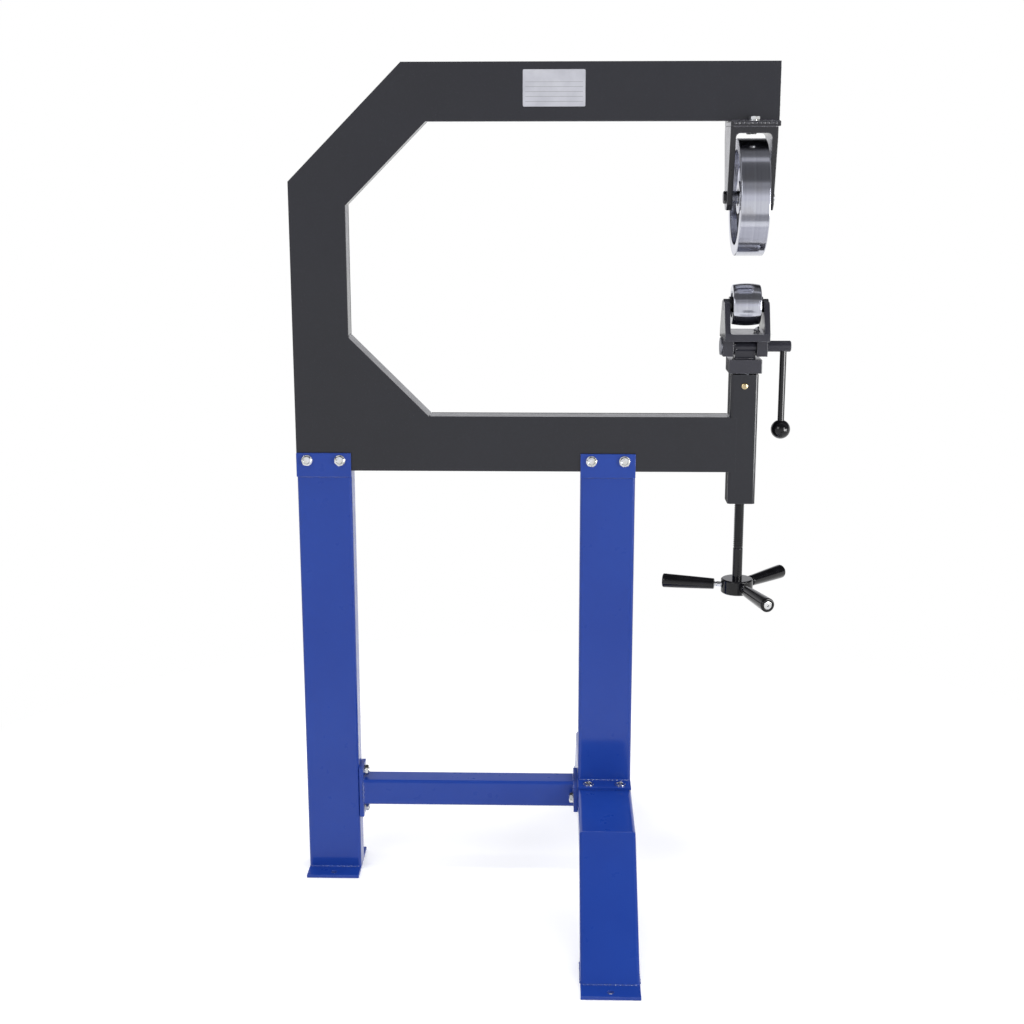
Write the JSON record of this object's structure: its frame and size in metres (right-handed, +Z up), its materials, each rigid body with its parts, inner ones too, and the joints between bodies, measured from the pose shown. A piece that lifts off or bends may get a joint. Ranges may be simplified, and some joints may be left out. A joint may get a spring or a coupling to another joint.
{
  "type": "english wheel",
  "caption": "Floor-standing english wheel: C-frame on a bolted stand, flat upper wheel, crowned anvil wheel, quick-release lever and screw lift with a spoked handwheel.",
  "frame": {"origin": "on the floor, at the middle of the machine's bounding box", "axes": "+X along the arms from the column towards the wheels, +Y across the machine (the picture looks along it), +Z up"},
  "size_m": [0.914, 0.9902, 1.508],
  "materials": {
    "frame_paint": "satin charcoal powder coat",
    "stand_paint": "semi-gloss blue powder coat",
    "dark_steel": "satin dark grey paint over welded steel",
    "black_steel": "black oxide",
    "ground_steel": "turned and ground, hardened tread",
    "plain_steel": "bright plain steel",
    "zinc_plate": "bright zinc plate",
    "brass": "yellow passivated head",
    "black_plastic": "gloss black phenolic"
  },
  "bodies": {
    "frame": {"frame_top_arm": "frame_paint", "frame_upper_diagonal": "frame_paint", "frame_column": "frame_paint", "frame_lower_arm": "frame_paint", "frame_gusset": "frame_paint", "frame_arm_cap": "frame_paint", "slide_post": "frame_paint", "post_nut": "dark_steel", "guide_screw": "brass", "wheel_mount_plate": "dark_steel", "upper_yoke": "dark_steel", "upper_axle": "dark_steel", "upper_spacers": "dark_steel", "column_leg": "stand_paint", "column_foot_plate": "stand_paint", "column_joint_plates": "stand_paint", "front_leg": "stand_paint", "front_joint_plates": "stand_paint", "front_leg_flange": "stand_paint", "cross_foot_beam": "stand_paint", "cross_foot_front": "stand_paint", "cross_foot_rear": "stand_paint", "cross_foot_plate_front": "stand_paint", "cross_foot_plate_rear": "stand_paint", "crossbar": "stand_paint", "crossbar_plate_rear": "stand_paint", "crossbar_plate_front": "stand_paint", "joint_bolts": "zinc_plate", "yoke_bolts": "zinc_plate", "stand_bolts": "zinc_plate", "flat_washers": "zinc_plate", "hex_nuts": "zinc_plate", "weld_nuts": "dark_steel"},
    "upper_wheel": {"upper_wheel": "ground_steel", "upper_bearings": "plain_steel"},
    "slide": {"slide_bar": "dark_steel", "slide_head": "dark_steel", "release_knuckle": "dark_steel", "guide_pins": "plain_steel", "thrust_washer": "plain_steel"},
    "anvil_yoke": {"anvil_yoke": "dark_steel", "yoke_ears": "dark_steel", "retaining_bolt": "dark_steel", "anvil_axle": "dark_steel", "anvil_spacers": "black_steel"},
    "lever": {"eccentric_shaft": "dark_steel", "shaft_end_washer": "dark_steel", "lever_rod": "black_steel", "lever_knob": "black_plastic"},
    "anvil": {"anvil_wheel": "ground_steel", "anvil_bearings": "plain_steel"},
    "handwheel": {"lift_screw": "black_steel", "handwheel_hub": "black_steel", "grip_spindles": "zinc_plate"},
    "grip_1": {"grip_1": "black_plastic"},
    "grip_2": {"grip_2": "black_plastic"},
    "grip_3": {"grip_3": "black_plastic"}
  },
  "joints": [
    {"name": "upper_wheel_spin", "type": "hinge", "parent": "frame", "child": "upper_wheel", "pos_m": [0.35397, 0, 1.2775], "axis": [1, 0, 0], "continuous": true},
    {"name": "anvil_lift", "type": "slide", "parent": "frame", "child": "slide", "axis": [0, 0, 1], "range_m": [0, 0.047]},
    {"name": "handwheel_turn", "type": "hinge", "parent": "slide", "child": "handwheel", "pos_m": [0.35397, 0, 0.5695], "axis": [0, 0, 1], "range_deg": [0, 4230]},
    {"name": "yoke_drop", "type": "slide", "parent": "slide", "child": "anvil_yoke", "axis": [0, 0, 1], "range_m": [-0.00354, 0]},
    {"name": "lever_turn", "type": "hinge", "parent": "anvil_yoke", "child": "lever", "pos_m": [0.35397, 0, 1.01527], "axis": [-1, 0, 0], "range_deg": [0, 90]},
    {"name": "anvil_spin", "type": "hinge", "parent": "anvil_yoke", "child": "anvil", "pos_m": [0.35397, 0, 1.09], "axis": [1, 0, 0], "continuous": true},
    {"name": "grip_1_spin", "type": "hinge", "parent": "handwheel", "child": "grip_1", "pos_m": [0.41398, 0.06436, 0.5695], "axis": [0.682, 0.7314, 0], "continuous": true},
    {"name": "grip_2_spin", "type": "hinge", "parent": "handwheel", "child": "grip_2", "pos_m": [0.26822, 0.0198, 0.5695], "axis": [-0.9744, 0.225, 0], "continuous": true},
    {"name": "grip_3_spin", "type": "hinge", "parent": "handwheel", "child": "grip_3", "pos_m": [0.3797, -0.08415, 0.5695], "axis": [0.2924, -0.9563, 0], "continuous": true}
  ],
  "couplings": [
    {"joint": "anvil_lift", "follows": "handwheel_turn", "m_per_rad": 0.00063662},
    {"joint": "yoke_drop", "follows": "lever_turn", "m_per_rad": -0.0022508}
  ]
}
